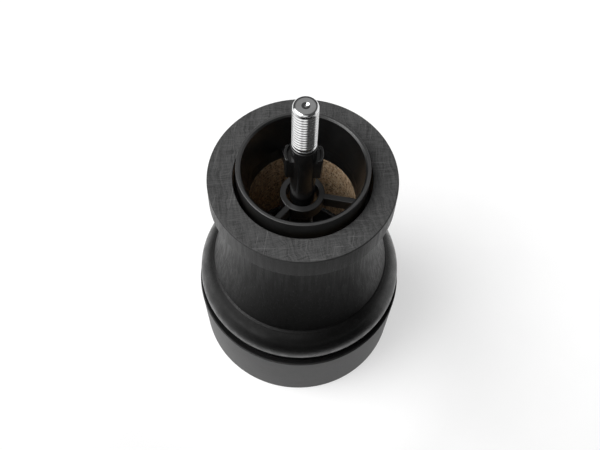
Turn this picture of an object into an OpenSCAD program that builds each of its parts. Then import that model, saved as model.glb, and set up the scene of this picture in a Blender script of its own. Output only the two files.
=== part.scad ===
// Pepper mill body, shown with its head off: a turned wooden body on an adjusting ring,
// with a spoked neck liner, a threaded drive shaft and a conical burr set inside.
// Millimetres, +Z up, origin at the centre of the base, front towards -Y.

/* [Wooden body] */
// Diameter of the flat rim at the top
rim_d = 63; // [60:0.5:70]
// Height of the rim's straight side
rim_h = 9.6; // [6:0.2:12]
// Height of the rim above the table
body_top = 100; // [92:1:125]
// Diameter at the narrowest part of the waist
waist_d = 54.4; // [53:0.2:58]
// Diameter at the crease between waist and bead
crease_d = 65.7; // [63:0.1:68]
// Diameter at the widest part of the bead
bead_d = 76; // [75:0.5:92]
// Height of the bead from its widest part up to the crease
bead_rise = 9.8; // [7:0.1:12]
// Radius of the bead's lower edge
bead_low_r = 5.5; // [4.5:0.1:7]
// Width of the turned crease
crease_w = 1.4; // [0.8:0.1:2]
// Depth of the turned crease
crease_deep = 1.2; // [0.6:0.1:2]
// Diameter of the pepper chamber
chamber_d = 36.8; // [34:0.2:38]

/* [Neck liner] */
// Outer diameter of the liner's collar
liner_d = 43.8; // [42:0.2:46]
// Wall of the collar at its top
liner_wall = 1.75; // [1.4:0.05:2.4]
// Height that the collar stands above the rim
liner_proud = 6; // [3:0.5:10]
// Depth that the liner is let into the body
liner_deep = 15.4; // [13:0.2:20]
// Step from the collar's bore in to the liner's bore at its foot
liner_step = 1.75; // [1.2:0.05:2.4]
// Gap between the collar and the wood
liner_gap = 1.1; // [0.6:0.1:1.6]
// Outer diameter of the spoked centre ring
guide_d = 15.2; // [14:0.2:18]
// Wall of the centre ring
guide_wall = 2.2; // [1.2:0.1:2.4]
// Height of the centre ring and its spokes
guide_h = 5; // [3:0.5:6]
// Depth of the spokes' top below the rim
guide_drop = 10; // [8:0.5:11]
// Width of one spoke
spoke_w = 2.2; // [1.6:0.1:4]
// Number of spokes
spokes = 3; // [3:1:5]
// Angle of the first spoke
spoke_turn = -8; // [-60:1:60]

/* [Drive shaft] */
// Major diameter of the threaded end
thread_d = 8; // [7.4:0.1:8.4]
// Length of the threaded end
thread_h = 19; // [12:0.5:24]
// Height of the shaft's tip above the rim
tip_proud = 38.5; // [30:0.5:45]
// Chamfer at the tip
tip_chamfer = 1.1; // [0.5:0.1:1.5]
// Width of the square bar across its flats
bar_w = 5; // [4.4:0.1:5.2]
// Wall of the drive sleeve over the bar's flats
sleeve_wall = 1.7; // [1.5:0.05:2]
// Height of the sleeve's lower end above the table
sleeve_foot = 62; // [60:1:80]
// Overall width across the two drive fins
fin_span = 12.6; // [11.6:0.2:14]
// Height of the drive fins
fin_h = 10; // [6:0.5:12]
// Distance from the top of the sleeve to the top of the fins
fin_drop = 4.6; // [2:0.2:8]
// Thickness of the fins
fin_t = 1; // [0.8:0.1:1.6]
// Width of each fin from edge to edge
fin_w = 6; // [4:0.2:7]
// Depth of the filled web behind a fin below the fin's top
fin_sink = 1.2; // [0.4:0.1:3]

/* [Burrs] */
// Depth of the burr set's lower face below the housing's flange
burr_drop = 0.2; // [0.1:0.1:1]
// Height of the fixed burr
stator_h = 16; // [14:0.5:18]
// Wall of the fixed burr at its lower edge
stator_wall = 3.2; // [2.6:0.1:3.6]
// Diameter of the turning burr at its lower edge
rotor_d = 32; // [30:0.5:33]
// Height of the turning burr
rotor_h = 18; // [17:0.5:20]
// Radial gap between the burrs at the coarse setting
grind_gap = 0.8; // [0.7:0.05:1.2]
// Teeth of the fixed burr
stator_teeth = 20; // [12:1:24]
// Fine teeth of the turning burr
rotor_teeth = 18; // [12:1:24]
// Cracking teeth of the turning burr
crack_teeth = 5; // [3:1:7]

/* [Adjusting ring] */
// How far the ring's top edge stands out past the bead
ring_over = 0.8; // [0.2:0.1:2]
// How much the ring's radius narrows from its top edge to its foot
ring_taper = 0.9; // [0:0.1:1.5]
// Height of the ring
ring_h = 28.7; // [27.6:0.1:29.6]
// Gap between the ring and the wooden body
ring_gap = 1.5; // [1:0.1:2.4]
// Wall of the ring beside the bearing carrier
ring_wall = 2.7; // [2:0.1:3]
// Angle that the ring turns from coarse to fine
ring_swing = 150; // [60:5:170]
// Click notches around the ring
notches = 24; // [12:12:36]
// Height that the carrier climbs from coarse to fine
carrier_rise = 1.2; // [0.6:0.1:1.4]

/* [Hidden] */
$fn = 96;
small_fn = 48;
close = 0.05;      // clearance of parts that seat in one another
run = 0.1;         // clearance of parts that turn in one another
thread_gap = 0.3;  // clearance drawn in place of a thread's flanks
edge = 0.35;       // small chamfer on a hand-sized edge
cut = 1;           // how far a cutting tool runs past a face

// Overall places that several pieces share
wood_foot = ring_h + ring_gap;
flange_h = 6;
flange_foot = wood_foot - flange_h;
burr_foot = flange_foot - burr_drop;
ring_top_r = bead_d / 2 + ring_over;
ring_foot_r = ring_top_r - ring_taper;
bead_foot_angle = -71;
bead_z = wood_foot - bead_low_r * sin(bead_foot_angle);
bead_arc_in = (bead_d - crease_d) / 2;
bead_arc_r = (bead_rise * bead_rise + bead_arc_in * bead_arc_in) / (2 * bead_arc_in);
bead_arc_angle = atan2(bead_rise, bead_arc_r - bead_arc_in);
waist_foot_r = crease_d / 2 - 0.6;
waist_foot = bead_z + bead_rise + crease_w;
waist_mid = body_top - 20;
waist_in = waist_foot_r - waist_d / 2;
waist_arc_r = (pow(waist_mid - waist_foot, 2) + waist_in * waist_in) / (2 * waist_in);
rim_foot = body_top - rim_h;
rim_cove = 2;

// Neck liner
liner_foot = body_top - liner_deep;
liner_top = body_top + liner_proud;
liner_bore_r = liner_d / 2 - liner_wall;
liner_seat_r = liner_d / 2 + liner_gap;
liner_flange_h = 2;
liner_relief = 0.5;
guide_top = body_top - guide_drop;
guide_foot = guide_top - guide_h;

// Shaft, from its tip down
tip_z = body_top + tip_proud;
thread_foot = tip_z - thread_h;
collar_h = 1;
sleeve_top = thread_foot - collar_h - close;
fin_top = sleeve_top - fin_drop;
sleeve_d = bar_w + 2 * sleeve_wall;
clip_h = 0.9;
clip_rim = 2.4;
clip_bite = 0.6;
clip_ease = 0.04;
journal_r = bar_w / 2 - 0.02;
bar_corner_r = bar_w / 2 * sqrt(2);

// Burrs
burr_top = burr_foot + stator_h;
throat_share = 0.62;
throat = burr_foot + throat_share * stator_h;
throat_in = 3.9;
crack_step = 1.4;
crack_in = 1.2;
stator_lip = 3.2;
tooth_deep = 1.1;
rotor_r = rotor_d / 2;
rotor_throat_r = rotor_r - throat_in;
rotor_top_r = bar_corner_r + 3;
stator_foot_r = rotor_r + grind_gap;
stator_throat_r = rotor_throat_r + grind_gap;
rotor_top = burr_foot + rotor_h;
washer_h = 0.8;
washer_r = rotor_top_r + 0.5;

// Housing that holds the burrs in the body
stator_r = rotor_d / 2 + grind_gap + stator_wall;
stator_seat_r = stator_r + close;
neck_r = stator_seat_r + 3.95;
neck_top = burr_top + 10;
bridge_h = 2;
bridge_top = neck_top + bridge_h;
bush_flange_h = 1;
bush_lip = 1.4;
bridge_eye = 2.2;
bridge_arm_w = 4.8;
bush_r = bar_corner_r + 1.1;
flange_r = bead_d / 2 - 3;
skirt_r = neck_r + 3;
skirt_wall = 1.6;
skirt_foot = 4;
retainer_h = 1.6;
retainer_screw_r = (stator_seat_r + neck_r) / 2;
body_screw_r = skirt_r + 3;
body_screw_turn = 60;
screw_shank_r = 1.5;
screw_head_r = 2.9;
screw_grip = 12;
small_shank_r = 0.9;
small_head_r = 1.7;
small_head_h = 1.1;

// Adjusting ring and its fittings
ring_bore_r = ring_foot_r - ring_wall;
ring_mouth_r = flange_r + 1.6;
web_top = flange_foot - 1.2;
web_h = 3.6;
web_foot = web_top - web_h;
clip_groove = 0.8;
ring_clip_h = 1;
ring_clip_top = web_foot - 0.2;
pin_r = 1.2;
pin_place_r = skirt_r + 4;
pin_turn = 90;
slot_spare = atan((pin_r + 0.6) / pin_place_r);
ball_r = 1.25;
ball_bore_r = ball_r + run;
ball_z = flange_foot + ball_bore_r + 0.75;
ball_place_r = ring_mouth_r - close - ball_r;
ball_bore_foot_r = skirt_r + 1.5;
ball_turn = 30;
notch_r = 1.1;
notch_deep = 0.5;
notch_h = 3.4;

// Bearing carrier that lifts the shaft
carrier_r = ring_bore_r - thread_gap;
carrier_rim = 4.6;
carrier_foot = 5;
carrier_rim_h = 8;
arm_w = 6;
arm_h = 4;
arm_foot = carrier_foot + 1;
arms = 3;
hub_r = 7;
hub_top = arm_foot + 6;
cup_r = 4.4;
cup_foot = arm_foot + 2;
thrust_r = 2.2;
thrust_z = hub_top + 0.4;
shaft_foot = thrust_z + 1;

// Points along an arc in the profile plane
function arc(x, y, r, a0, a1, n) =
    [for (i = [0:n]) [x + r * cos(a0 + (a1 - a0) * i / n), y + r * sin(a0 + (a1 - a0) * i / n)]];

// Outside of the wooden body, from the foot up to the rim
function wood_outline() = concat(
    arc(bead_d / 2 - bead_low_r, bead_z, bead_low_r, bead_foot_angle, 0, 10),
    arc(bead_d / 2 - bead_arc_r, bead_z, bead_arc_r, bead_arc_angle / 12, bead_arc_angle, 11),
    [[crease_d / 2 - crease_deep, waist_foot - crease_w / 2]],
    [for (i = [0:14]) let (z = waist_foot + (rim_foot - rim_cove - waist_foot) * i / 14)
        [waist_d / 2 + waist_arc_r - sqrt(waist_arc_r * waist_arc_r - pow(z - waist_mid, 2)), z]],
    [[rim_d / 2 - edge, rim_foot], [rim_d / 2, rim_foot + edge],
     [rim_d / 2, body_top - edge], [rim_d / 2 - edge, body_top]]);

module square_bore(w, z0, z1) {
    translate([-w / 2, -w / 2, z0]) cube([w, w, z1 - z0]);
}

module tube(r_out, r_in, z0, z1) {
    difference() {
        translate([0, 0, z0]) cylinder(r = r_out, h = z1 - z0);
        translate([0, 0, z0 - cut]) cylinder(r = r_in, h = z1 - z0 + 2 * cut);
    }
}

module around(n, turn = 0) {
    for (i = [0:n - 1]) rotate([0, 0, turn + 360 * i / n]) children();
}

// Round wire wound about the Z axis, from z0 to z1
module coil(mean_r, wire_r, z0, z1, turns, steps, sides) {
    n = turns * steps;
    lift = z1 - z0 - 2 * wire_r;
    rings = [for (i = [0:n]) let (a = 360 * i / steps, z = z0 + wire_r + lift * i / n)
        for (j = [0:sides - 1]) let (b = 360 * j / sides, r = mean_r + wire_r * cos(b))
            [r * cos(a), r * sin(a), z + wire_r * sin(b)]];
    skin = [for (i = [0:n - 1]) for (j = [0:sides - 1])
        let (k = (j + 1) % sides)
            [i * sides + j, (i + 1) * sides + j, (i + 1) * sides + k, i * sides + k]];
    polyhedron(points = rings, faces = concat(skin,
        [[for (j = [0:sides - 1]) j]], [[for (j = [sides - 1:-1:0]) n * sides + j]]), convexity = 8);
}

module wood_body() {
    color("#26262a") difference() {
        rotate_extrude() polygon(concat([[0, wood_foot]], wood_outline(), [[0, body_top]]));
        translate([0, 0, liner_foot]) cylinder(r = liner_seat_r, h = liner_deep + cut);
        translate([0, 0, bridge_top]) cylinder(d = chamber_d, h = body_top - bridge_top);
        translate([0, 0, wood_foot - cut]) cylinder(r = neck_r + 0.3, h = bridge_top + close - wood_foot + cut);
        around(3, body_screw_turn) translate([body_screw_r, 0, wood_foot - cut])
            cylinder(r = screw_shank_r + close, h = screw_grip + cut + 0.5, $fn = small_fn);
    }
}

module neck_liner() {
    foot_bore_r = liner_bore_r - liner_step;
    color("#101012") {
        rotate_extrude() polygon([
            [foot_bore_r, liner_foot + close], [liner_seat_r - close, liner_foot + close],
            [liner_seat_r - close, liner_foot + liner_flange_h], [liner_d / 2 - liner_relief, liner_foot + liner_flange_h],
            [liner_d / 2 - liner_relief, body_top + edge], [liner_d / 2, body_top + edge],
            [liner_d / 2, liner_top - edge], [liner_d / 2 - edge, liner_top],
            [liner_bore_r + edge, liner_top], [liner_bore_r, liner_top - edge],
            [foot_bore_r, guide_top + 1]]);
        rotate([0, 0, spoke_turn]) {
            tube(guide_d / 2, guide_d / 2 - guide_wall, guide_foot, guide_top);
            around(spokes) translate([guide_d / 2 - guide_wall / 2, -spoke_w / 2, guide_foot])
                cube([foot_bore_r + liner_wall / 2 - guide_d / 2 + guide_wall / 2, spoke_w, guide_h]);
        }
    }
}

module drive_shaft() {
    color("#c9ccd0") difference() {
        union() {
            translate([0, 0, thread_foot]) cylinder(d = thread_d, h = thread_h - tip_chamfer);
            translate([0, 0, tip_z - tip_chamfer])
                cylinder(d1 = thread_d, d2 = thread_d - 2 * tip_chamfer, h = tip_chamfer);
            translate([0, 0, thread_foot - collar_h]) cylinder(d = thread_d, h = collar_h);
            square_bore(bar_w, burr_foot, thread_foot);
            translate([0, 0, shaft_foot]) cylinder(r = journal_r, h = burr_foot - shaft_foot + cut);
        }
        translate([0, 0, thrust_z]) sphere(r = thrust_r + close);
        tube(journal_r + cut, journal_r - clip_bite, burr_foot - clip_h - 2 * close, burr_foot - close);
        translate([0, 0, tip_z - 1.2]) cylinder(r1 = 0, r2 = 1.3, h = 1.3, $fn = small_fn);
    }
}

module drive_sleeve() {
    fin_r = fin_span / 2;
    color("#0e0e10") difference() {
        union() {
            translate([0, 0, sleeve_foot]) cylinder(d = sleeve_d, h = sleeve_top - sleeve_foot);
            intersection() {
                union() {
                    tube(fin_r, fin_r - fin_t, fin_top - fin_h, fin_top);
                    translate([0, 0, fin_top - fin_h]) cylinder(r = fin_r - fin_t / 2, h = fin_h - fin_sink);
                }
                translate([-fin_r - cut, -fin_w / 2, fin_top - fin_h])
                    cube([fin_span + 2 * cut, fin_w, fin_h]);
            }
        }
        square_bore(bar_w + 2 * close, sleeve_foot - cut, sleeve_top + cut);
    }
}

module sleeve_clip() {
    color("#b9bcc0") difference() {
        translate([0, 0, sleeve_foot - clip_h - close]) cylinder(d = sleeve_d + 3, h = clip_h);
        square_bore(bar_w + clip_ease, sleeve_foot - clip_h - cut, sleeve_foot + cut);
    }
}

module spring_bridge() {
    ring_in = chamber_d / 2;
    arm_in = bush_r + bridge_eye - 1;
    color("#a9acb0") {
        tube(neck_r, ring_in, neck_top + close, bridge_top);
        tube(bush_r + bridge_eye, bush_r + close, neck_top + close, bridge_top);
        around(3, 30) translate([arm_in, -bridge_arm_w / 2, neck_top + close])
            cube([ring_in + 1 - arm_in, bridge_arm_w, bridge_h - close]);
    }
}

module guide_bush() {
    color("#e6e2d6") difference() {
        union() {
            translate([0, 0, neck_top + close]) cylinder(r = bush_r, h = bridge_h + bush_flange_h);
            translate([0, 0, bridge_top + close]) cylinder(r = bush_r + bush_lip, h = bush_flange_h);
        }
        translate([0, 0, neck_top - cut]) cylinder(r = bar_corner_r + run, h = 3 * bridge_h + cut);
    }
}

module grind_spring() {
    color("#8f9399") coil(bush_r + 0.9, 0.5, rotor_top + washer_h + 2 * close, neck_top - close, 4, 20, 8);
}

module spring_washer() {
    color("#c2c4c8") tube(washer_r, bar_corner_r + run, rotor_top + close, rotor_top + close + washer_h);
}

module burr_housing() {
    cavity_r = skirt_r - skirt_wall;
    color("#17171a") difference() {
        union() {
            translate([0, 0, flange_foot]) cylinder(r = neck_r, h = neck_top - flange_foot);
            translate([0, 0, flange_foot]) cylinder(r = flange_r, h = flange_h - close);
            translate([0, 0, skirt_foot]) cylinder(r = skirt_r, h = flange_foot - skirt_foot + cut);
        }
        translate([0, 0, skirt_foot - cut]) cylinder(r = cavity_r, h = burr_foot - skirt_foot + cut);
        translate([0, 0, burr_foot - cut]) cylinder(r = stator_seat_r, h = stator_h + cut + close);
        translate([0, 0, burr_top]) cylinder(r1 = stator_seat_r - 3.4, r2 = chamber_d / 2 - 0.2,
            h = neck_top - burr_top + 0.001);
        tube(skirt_r + cut, skirt_r - clip_groove, ring_clip_top - ring_clip_h - close, ring_clip_top + close);
        around(arms) translate([cavity_r - cut, -arm_w / 2 - 0.6, skirt_foot - cut])
            cube([skirt_wall + 2 * cut, arm_w + 1.2, arm_foot + arm_h + carrier_rise + 0.8 - skirt_foot + cut]);
        around(3, body_screw_turn) translate([body_screw_r, 0, flange_foot]) {
            translate([0, 0, -cut]) cylinder(r = screw_shank_r + close, h = flange_h + 2 * cut, $fn = small_fn);
            translate([0, 0, -0.001]) cylinder(r1 = screw_head_r + close, r2 = screw_shank_r + close,
                h = screw_head_r - screw_shank_r, $fn = small_fn);
        }
        around(3) translate([retainer_screw_r, 0, burr_foot - cut])
            cylinder(r = small_shank_r + close, h = cut + 7, $fn = small_fn);
        rotate([0, 0, pin_turn]) translate([pin_place_r, 0, flange_foot - cut])
            cylinder(r = pin_r + 0.02, h = cut + 3.5, $fn = small_fn);
        rotate([0, 0, ball_turn]) translate([ball_bore_foot_r, 0, ball_z]) rotate([0, 90, 0])
            cylinder(r = ball_bore_r, h = flange_r - ball_bore_foot_r + cut, $fn = small_fn);
    }
}

// Sloping V cuts that leave the teeth on a cone between two radii
module tooth_cuts(n, r_low, r_high, z_low, z_high, deep, lean) {
    tilt = atan((r_low - r_high) / (z_high - z_low));
    long = (z_high - z_low) / cos(tilt) + 3 * cut;
    around(n) translate([(r_low + r_high) / 2, 0, (z_low + z_high) / 2])
        rotate([lean, 0, 0]) rotate([0, -tilt, 0]) rotate([0, 0, 45])
            translate([-deep / 2, -deep / 2, -long / 2]) cube([deep, deep, long]);
}

module fixed_burr() {
    color("#6f7378") difference() {
        rotate_extrude() polygon([[stator_foot_r, burr_foot], [stator_r, burr_foot],
            [stator_r, burr_top], [stator_seat_r - stator_lip, burr_top], [stator_throat_r, throat]]);
        tooth_cuts(stator_teeth, stator_foot_r, stator_throat_r, burr_foot, throat, tooth_deep, 14);
        tooth_cuts(stator_teeth / 2, stator_throat_r, stator_seat_r - stator_lip, throat, burr_top, 1.6, 20);
    }
}

module burr_retainer() {
    color("#a9acb0") difference() {
        tube(skirt_r - skirt_wall - 0.3, stator_foot_r + 0.4, burr_foot - retainer_h - close, burr_foot - close);
        around(3) translate([retainer_screw_r, 0, burr_foot - retainer_h - cut])
            cylinder(r = small_shank_r + 0.2, h = retainer_h + 2 * cut, $fn = small_fn);
    }
}

module retainer_screws() {
    head_foot = burr_foot - retainer_h - small_head_h - 2 * close;
    color("#c9ccd0") around(3) translate([retainer_screw_r, 0, head_foot]) difference() {
        union() {
            cylinder(r = small_head_r, h = small_head_h, $fn = small_fn);
            cylinder(r = small_shank_r, h = small_head_h + retainer_h + 6.5, $fn = small_fn);
        }
        screw_cross(1.1, 0.7);
    }
}

module body_screws() {
    color("#c9ccd0") around(3, body_screw_turn) translate([body_screw_r, 0, flange_foot + 0.02]) difference() {
        union() {
            cylinder(r1 = screw_head_r, r2 = screw_shank_r, h = screw_head_r - screw_shank_r, $fn = small_fn);
            cylinder(r = screw_shank_r, h = flange_h + screw_grip, $fn = small_fn);
        }
        screw_cross(1.7, 1.1);
    }
}

// Cross recess in a screw head that faces down
module screw_cross(reach, deep) {
    for (a = [0, 90]) rotate([0, 0, a]) translate([-reach, -0.3, -cut]) cube([2 * reach, 0.6, deep + cut]);
}

module turning_burr() {
    color("#7c8086") difference() {
        rotate_extrude() polygon([[0, burr_foot], [rotor_r, burr_foot], [rotor_throat_r, throat],
            [rotor_throat_r - crack_in, throat + crack_step], [rotor_top_r, rotor_top], [0, rotor_top]]);
        square_bore(bar_w + 2 * close, burr_foot - cut, rotor_top + cut);
        tooth_cuts(rotor_teeth, rotor_r, rotor_throat_r, burr_foot, throat, tooth_deep, -14);
        tooth_cuts(crack_teeth, rotor_throat_r - crack_in, rotor_top_r, throat + crack_step, rotor_top, 3.2, -22);
    }
}

module burr_clip() {
    clip_foot = burr_foot - clip_h - close;
    color("#b9bcc0") difference() {
        tube(journal_r + clip_rim, journal_r - clip_bite + clip_ease, clip_foot, clip_foot + clip_h - close);
        translate([0, -journal_r + 1, clip_foot - cut]) cube([2 * journal_r + 2, 2 * journal_r - 2, 3]);
    }
}

module adjusting_ring() {
    color("#4a4a4d") difference() {
        rotate_extrude() polygon([
            [ring_bore_r, 0], [ring_foot_r - edge * 2, 0], [ring_foot_r, edge * 2],
            [ring_top_r, ring_h - edge * 2], [ring_top_r - edge, ring_h - edge / 2],
            [ring_top_r - edge * 2, ring_h], [ring_mouth_r + 1.6, ring_h], [ring_mouth_r, ring_h - 1.8],
            [ring_mouth_r, web_top], [skirt_r + run, web_top], [skirt_r + run, web_foot], [ring_bore_r, web_foot]]);
        around(notches, ball_turn) translate([ring_mouth_r - notch_r + notch_deep, 0, web_top])
            cylinder(r = notch_r, h = notch_h, $fn = small_fn);
        rotate([0, 0, pin_turn - ring_swing - slot_spare])
            rotate_extrude(angle = ring_swing + 2 * slot_spare)
                translate([pin_place_r - pin_r - 0.3, web_foot - cut])
                    square([2 * pin_r + 0.6, web_h + 2 * cut]);
    }
}

module ring_clip() {
    color("#b9bcc0") difference() {
        tube(skirt_r + clip_rim, skirt_r - clip_groove + clip_ease, ring_clip_top - ring_clip_h, ring_clip_top);
        rotate([0, 0, 45]) translate([0, -4, ring_clip_top - ring_clip_h - cut]) cube([skirt_r + 5, 8, 4]);
    }
}

module friction_ring() {
    color("#5c4a3a") tube(skirt_r + 2.2, skirt_r + run, web_top + 0.1, flange_foot - close);
}

module stop_pin() {
    color("#c9ccd0") rotate([0, 0, pin_turn]) translate([pin_place_r, 0, web_foot + 1])
        cylinder(r = pin_r, h = flange_foot + 3.4 - web_foot - 1, $fn = small_fn);
}

module click_ball() {
    color("#d0d2d5") rotate([0, 0, ball_turn]) translate([ball_place_r, 0, ball_z])
        sphere(r = ball_r, $fn = small_fn);
}

module click_spring() {
    color("#8f9399") rotate([0, 0, ball_turn]) translate([0, 0, ball_z]) rotate([0, 90, 0])
        coil(ball_r - 0.35, 0.16, ball_bore_foot_r + close, ball_place_r - ball_r * 0.78, 6, 12, 6);
}

module bearing_carrier() {
    color("#1c1c20") difference() {
        union() {
            tube(carrier_r, carrier_r - carrier_rim, carrier_foot, carrier_foot + carrier_rim_h);
            translate([0, 0, arm_foot]) cylinder(r = hub_r, h = hub_top - arm_foot);
            around(arms) translate([hub_r - 1, -arm_w / 2, arm_foot])
                cube([carrier_r - carrier_rim / 2 - hub_r + 1, arm_w, arm_h]);
        }
        translate([0, 0, cup_foot]) cylinder(r = cup_r + close, h = hub_top - cup_foot + cut);
    }
}

module bearing_cup() {
    color("#b08d4a") difference() {
        translate([0, 0, cup_foot + close]) cylinder(r = cup_r, h = hub_top - cup_foot - close);
        translate([0, 0, thrust_z]) sphere(r = thrust_r + close);
    }
}

module thrust_ball() {
    color("#d0d2d5") translate([0, 0, thrust_z]) sphere(r = thrust_r);
}

wood_body();
neck_liner();
drive_shaft();
drive_sleeve();
sleeve_clip();
spring_bridge();
guide_bush();
grind_spring();
spring_washer();
burr_housing();
fixed_burr();
burr_retainer();
retainer_screws();
body_screws();
turning_burr();
burr_clip();
adjusting_ring();
ring_clip();
friction_ring();
stop_pin();
click_ball();
click_spring();
bearing_carrier();
bearing_cup();
thrust_ball();
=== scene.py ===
import math
import bpy
import bmesh
from mathutils import Matrix, Vector


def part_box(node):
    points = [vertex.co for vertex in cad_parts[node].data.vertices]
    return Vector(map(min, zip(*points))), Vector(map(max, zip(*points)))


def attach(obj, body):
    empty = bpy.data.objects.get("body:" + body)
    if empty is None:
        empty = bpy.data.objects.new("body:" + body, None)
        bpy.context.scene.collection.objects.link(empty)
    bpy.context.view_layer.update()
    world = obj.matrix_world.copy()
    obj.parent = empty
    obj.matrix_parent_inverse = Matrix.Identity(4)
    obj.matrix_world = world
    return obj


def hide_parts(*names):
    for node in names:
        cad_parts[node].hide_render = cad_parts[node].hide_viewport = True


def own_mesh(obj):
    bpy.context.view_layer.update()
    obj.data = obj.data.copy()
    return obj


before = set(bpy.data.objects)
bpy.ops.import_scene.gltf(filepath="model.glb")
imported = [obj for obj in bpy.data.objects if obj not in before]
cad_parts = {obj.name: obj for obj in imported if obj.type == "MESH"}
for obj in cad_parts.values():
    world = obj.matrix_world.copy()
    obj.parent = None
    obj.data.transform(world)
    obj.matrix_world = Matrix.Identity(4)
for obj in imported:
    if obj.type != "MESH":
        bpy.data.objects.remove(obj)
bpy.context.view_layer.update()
mm = 0.001
print("frame loaded:", len(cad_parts), "nodes")


def span(node):
    low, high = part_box(node)                       # corners at rest, turned into millimetres
    return [value / mm for value in low], [value / mm for value in high]


# camera, floor and light

view = {
    "position": (0.0, -156.689, 349.387),          # millimetres from the centre of the base
    "target": (-0.356, 0.0, 67.231),
    "roll": 2.211,
    "lens": 54.0, "sensor": 36.0, "nearest": 0.01,
}


def buildCamera():
    data = bpy.data.cameras.new("viewCamera")
    data.lens = view["lens"]
    data.sensor_width = view["sensor"]
    data.clip_start = view["nearest"]
    camera = bpy.data.objects.new("viewCamera", data)
    bpy.context.scene.collection.objects.link(camera)
    eye = Vector(view["position"]) * mm
    back = (eye - Vector(view["target"]) * mm).normalized()
    right = Vector((0, 0, 1)).cross(back).normalized()
    up = back.cross(right)
    turn = math.radians(view["roll"])
    rolledRight = right * math.cos(turn) + up * math.sin(turn)
    rolledUp = up * math.cos(turn) - right * math.sin(turn)
    axes = Matrix((rolledRight, rolledUp, back)).transposed().to_4x4()
    camera.matrix_world = Matrix.Translation(eye) @ axes
    bpy.context.scene.camera = camera


# node sockets as values

class Wire:                                        # one socket of a node tree, used like a number
    def __init__(self, tree, socket=None):
        self.tree = tree
        self.socket = socket

    def node(self, kind, settings=None, sockets=None, out=0):
        made = self.tree.nodes.new(kind)
        for key, value in (settings or {}).items():
            if key == "stops":
                ramp = made.color_ramp
                while len(ramp.elements) < len(value):
                    ramp.elements.new(0.5)
                for element, (place, colour) in zip(ramp.elements, value):
                    element.position = place
                    element.color = (*colour, 1.0)
            else:
                setattr(made, key, value)
        for key, value in (sockets or {}).items():
            if isinstance(value, Wire):
                self.tree.links.new(value.socket, made.inputs[key])
            else:
                made.inputs[key].default_value = value
        return Wire(self.tree, made.outputs[out] if len(made.outputs) else None)

    def join(self, operation, *values):
        return self.node("ShaderNodeMath", {"operation": operation}, dict(enumerate(values)))

    def __add__(self, other):
        return self.join("ADD", self, other)

    def __radd__(self, other):
        return self.join("ADD", other, self)

    def __sub__(self, other):
        return self.join("SUBTRACT", self, other)

    def __rsub__(self, other):
        return self.join("SUBTRACT", other, self)

    def __mul__(self, other):
        return self.join("MULTIPLY", self, other)

    def __rmul__(self, other):
        return self.join("MULTIPLY", other, self)

    def __truediv__(self, other):
        return self.join("DIVIDE", self, other)

    def __rtruediv__(self, other):
        return self.join("DIVIDE", other, self)

    def __pow__(self, other):
        return self.join("POWER", self, other)

    def sine(self):
        return self.join("SINE", self)

    def fraction(self):
        return self.join("FRACT", self)

    def larger(self, other):
        return self.join("MAXIMUM", self, other)

    def smaller(self, other):
        return self.join("MINIMUM", self, other)

    def fade(self, low, high, start=0.0, end=1.0):  # smooth step between two values
        return self.node("ShaderNodeMapRange", {"interpolation_type": "SMOOTHSTEP"},
                         {0: self, 1: low, 2: high, 3: start, 4: end})

    def parts(self):
        split = self.tree.nodes.new("ShaderNodeSeparateXYZ")
        self.tree.links.new(self.socket, split.inputs[0])
        return [Wire(self.tree, output) for output in split.outputs]

    def vector(self, x, y, z):
        return self.node("ShaderNodeCombineXYZ", None, {0: x, 1: y, 2: z})

    def noise(self, place, scale, detail=3.0, roughness=0.55):
        return self.node("ShaderNodeTexNoise", None, {
            "Vector": place, "Scale": scale, "Detail": detail, "Roughness": roughness})

    def blend(self, first, second):                # self is the factor
        return self.node("ShaderNodeMix", {"data_type": "RGBA"}, {0: self, 6: first, 7: second}, 2)


def grey(level, warm=0.0):
    return (level * (1 + warm), level, level * (1 - warm), 1.0)


# finishes

def newFinish(name):
    material = bpy.data.materials.new(name)
    material.use_nodes = True
    tree = material.node_tree
    tree.nodes.clear()
    start = Wire(tree)
    coordinates = start.node("ShaderNodeTexCoord", out=3)
    place = start.node("ShaderNodeVectorMath", {"operation": "SCALE"}, {0: coordinates, "Scale": 1000.0})
    return material, start, place                  # place is in millimetres


def finishSurface(start, colour, rough, height=None, lift=0.05, steady=None, metal=0.0):
    sockets = {"Base Color": colour, "Roughness": rough, "Metallic": metal}
    if height is not None:
        sockets["Normal"] = start.node("ShaderNodeBump", None, {
            "Strength": 1.0, "Distance": lift * mm, "Height": height})
    sockets.update(steady or {})
    surface = start.node("ShaderNodeBsdfPrincipled", None, sockets)
    start.node("ShaderNodeOutputMaterial", None, {0: surface})


stain = {
    "sideDark": 0.0010, "sideLight": 0.0036,
    "endDark": 0.024, "endLight": 0.078,
    # the rim's side tone in this line is painted light, paler than the waist
    "rimSidePaintedLight": 0.045, "scratched": 0.15, "endPore": 0.012, "sidePore": 0.0015,
    "pith": (150.0, 22.0),                         # centre of the growth rings
    "rimTop": 100.0, "rimFoot": (89.9, 90.6),      # heights between which a finish gives way
    "beadTop": (44.0, 48.0), "polishTop": (42.5, 45.0),
}


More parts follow.
